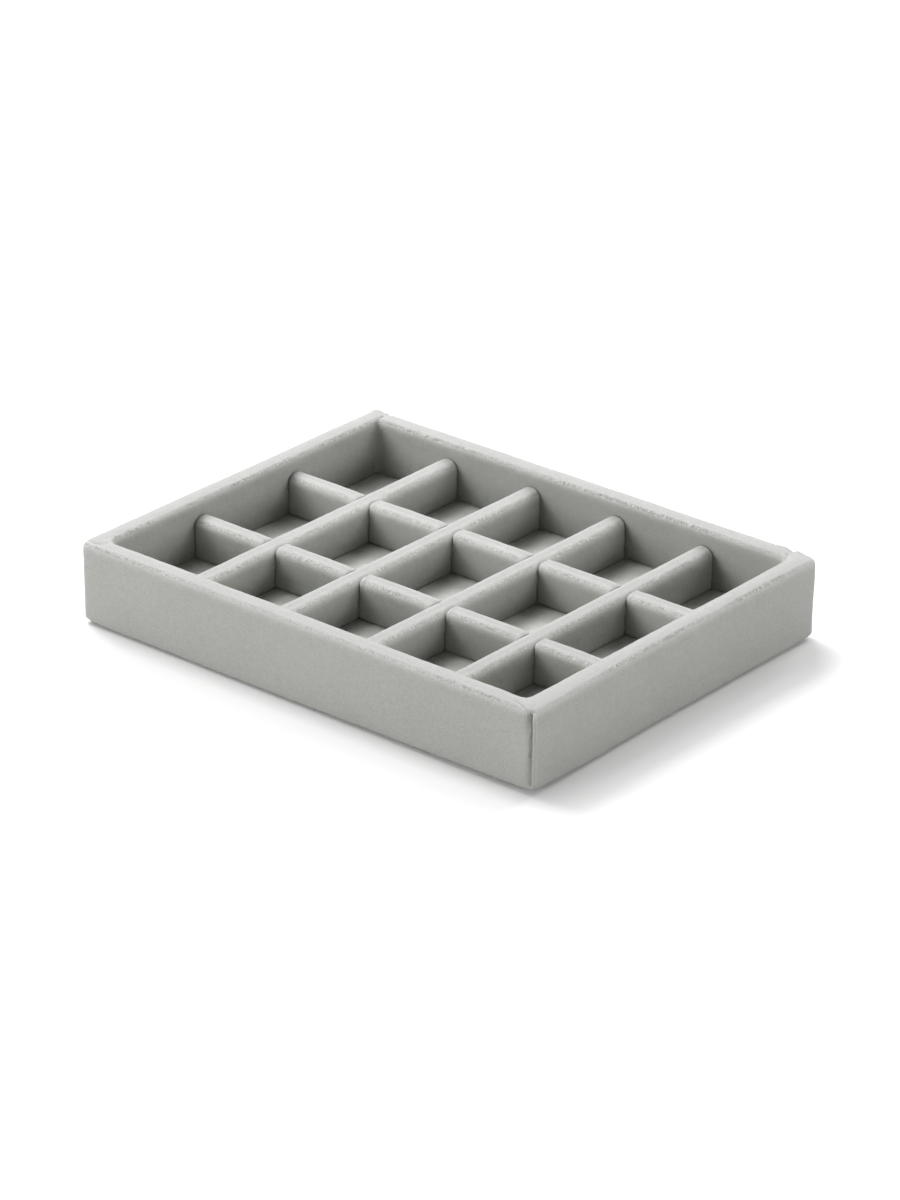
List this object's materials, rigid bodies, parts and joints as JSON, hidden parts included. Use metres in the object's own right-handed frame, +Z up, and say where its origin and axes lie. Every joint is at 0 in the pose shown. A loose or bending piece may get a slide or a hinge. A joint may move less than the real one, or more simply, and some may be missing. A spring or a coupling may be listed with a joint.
{
  "type": "velour compartment tray",
  "caption": "Shallow open tray wrapped in grey velour, divided by slotted padded dividers into a grid of small cells for jewellery.",
  "frame": {"origin": "centre of the underside, on the surface that the tray rests on", "axes": "+X along the long walls, +Y from the front to the back, +Z up out of the cells"},
  "size_m": [0.155, 0.1192, 0.024],
  "materials": {
    "velour": "short brushed pile, matt, slightly green-grey",
    "greyboard": "raw pressed board",
    "foam": "soft open foam sheet",
    "backing_sheet": "matt fibrous backing paper"
  },
  "bodies": {
    "root": {"wall_velour": "velour", "floor_velour": "velour", "long_divider_velour_1": "velour", "long_divider_velour_2": "velour", "cross_divider_velour_1": "velour", "cross_divider_velour_2": "velour", "cross_divider_velour_3": "velour", "cross_divider_velour_4": "velour", "base_board": "greyboard", "left_wall_board": "greyboard", "right_wall_board": "greyboard", "front_wall_board": "greyboard", "back_wall_board": "greyboard", "long_divider_board_1": "greyboard", "long_divider_board_2": "greyboard", "cross_divider_board_1": "greyboard", "cross_divider_board_2": "greyboard", "cross_divider_board_3": "greyboard", "cross_divider_board_4": "greyboard", "floor_pad": "foam", "bottom_cover": "backing_sheet"}
  },
  "joints": []
}
